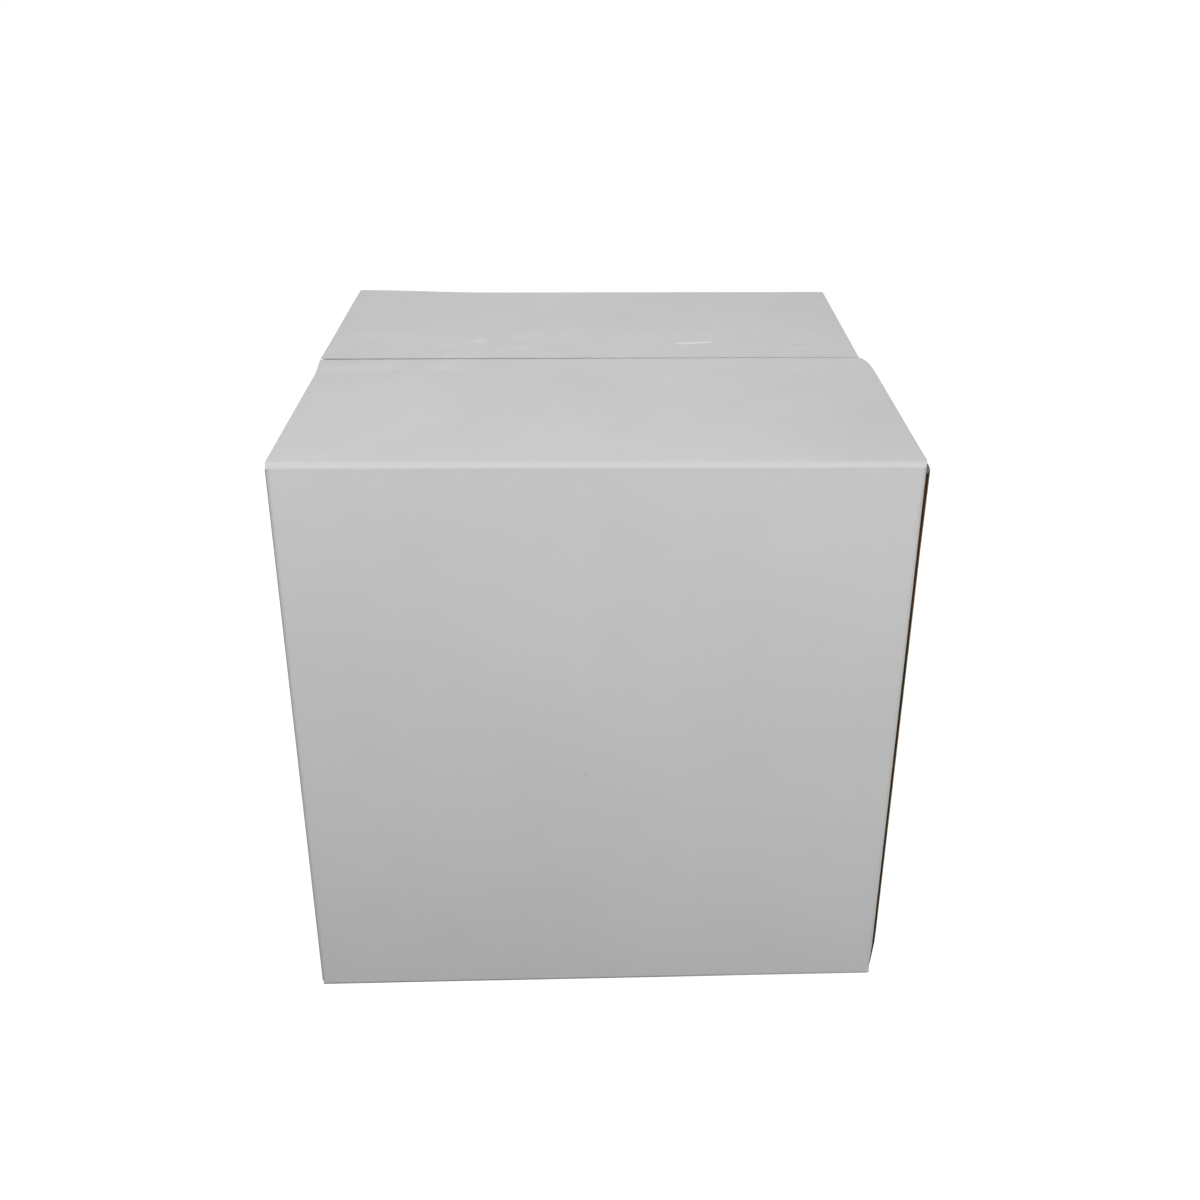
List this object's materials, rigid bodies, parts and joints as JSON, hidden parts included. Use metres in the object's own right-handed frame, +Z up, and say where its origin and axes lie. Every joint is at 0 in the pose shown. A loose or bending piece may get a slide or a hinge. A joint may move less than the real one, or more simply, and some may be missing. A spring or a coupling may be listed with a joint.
{
  "type": "corrugated carton",
  "caption": "Cube-shaped white corrugated carton with brown fluted board inside, a taped top seam and flaps that fold open on creases.",
  "frame": {"origin": "middle of the base, on the face that it stands on", "axes": "+Z up, -Y towards the front wall, +X towards the wall that the glue tab is behind"},
  "size_m": [0.3112, 0.311, 0.3144],
  "materials": {
    "white_liner": "white clay-coated paper, satin, with faint washboard lines and scuffs",
    "fluting": "brown fluted paper, matt and fibrous",
    "kraft_liner": "brown kraft paper, matt, with fibres and faint washboard lines",
    "crushed_board": "brown crushed board, matt",
    "clear_tape": "clear film with trapped air and creases",
    "glue": "dried cream glue"
  },
  "bodies": {
    "carton": {"back_left_corner_crease": "white_liner", "back_panel_fluting": "fluting", "back_panel_kraft_liner": "kraft_liner", "back_panel_white_liner": "white_liner", "back_right_corner_crease": "white_liner", "bottom_front_flap_crease": "white_liner", "bottom_front_flap_fluting": "fluting", "bottom_front_flap_kraft_liner": "kraft_liner", "bottom_front_flap_white_liner": "white_liner", "bottom_left_flap_crease": "white_liner", "bottom_left_flap_fluting": "fluting", "bottom_left_flap_kraft_liner": "kraft_liner", "bottom_left_flap_white_liner": "white_liner", "bottom_rear_flap_crease": "white_liner", "bottom_rear_flap_fluting": "fluting", "bottom_rear_flap_kraft_liner": "kraft_liner", "bottom_rear_flap_white_liner": "white_liner", "bottom_right_flap_crease": "white_liner", "bottom_right_flap_fluting": "fluting", "bottom_right_flap_kraft_liner": "kraft_liner", "bottom_right_flap_white_liner": "white_liner", "bottom_tape": "clear_tape", "bottom_tape_tails": "clear_tape", "front_left_corner_crease": "white_liner", "front_panel_fluting": "fluting", "front_panel_kraft_liner": "kraft_liner", "front_panel_white_liner": "white_liner", "glue_tab": "crushed_board", "glue_tab_crease": "white_liner", "joint_glue": "glue", "left_panel_fluting": "fluting", "left_panel_kraft_liner": "kraft_liner", "left_panel_white_liner": "white_liner", "right_panel_fluting": "fluting", "right_panel_kraft_liner": "kraft_liner", "right_panel_white_liner": "white_liner", "top_front_flap_crease": "white_liner", "top_left_flap_crease": "white_liner", "top_rear_flap_crease": "white_liner", "top_right_flap_crease": "white_liner", "top_tape_tails": "clear_tape"},
    "front_flap": {"top_front_flap_white_liner": "white_liner", "top_front_flap_fluting": "fluting", "top_front_flap_kraft_liner": "kraft_liner", "top_tape_front": "clear_tape"},
    "rear_flap": {"top_rear_flap_white_liner": "white_liner", "top_rear_flap_fluting": "fluting", "top_rear_flap_kraft_liner": "kraft_liner", "top_tape_rear": "clear_tape"},
    "left_flap": {"top_left_flap_white_liner": "white_liner", "top_left_flap_fluting": "fluting", "top_left_flap_kraft_liner": "kraft_liner"},
    "right_flap": {"top_right_flap_white_liner": "white_liner", "top_right_flap_fluting": "fluting", "top_right_flap_kraft_liner": "kraft_liner"}
  },
  "joints": [
    {"name": "front_flap_fold", "type": "hinge", "parent": "carton", "child": "front_flap", "pos_m": [0, -0.1555, 0.3144], "axis": [1, 0, 0], "range_deg": [0, 175], "deforming": ["top_front_flap_crease"]},
    {"name": "rear_flap_fold", "type": "hinge", "parent": "carton", "child": "rear_flap", "pos_m": [0, 0.1555, 0.3144], "axis": [-1, 0, 0], "range_deg": [0, 175], "deforming": ["top_rear_flap_crease"]},
    {"name": "left_flap_fold", "type": "hinge", "parent": "carton", "child": "left_flap", "pos_m": [-0.1525, 0, 0.3082], "axis": [0, 1, 0], "range_deg": [0, 75], "deforming": ["top_left_flap_crease"]},
    {"name": "right_flap_fold", "type": "hinge", "parent": "carton", "child": "right_flap", "pos_m": [0.1525, 0, 0.3082], "axis": [0, -1, 0], "range_deg": [0, 75], "deforming": ["top_right_flap_crease"]}
  ]
}
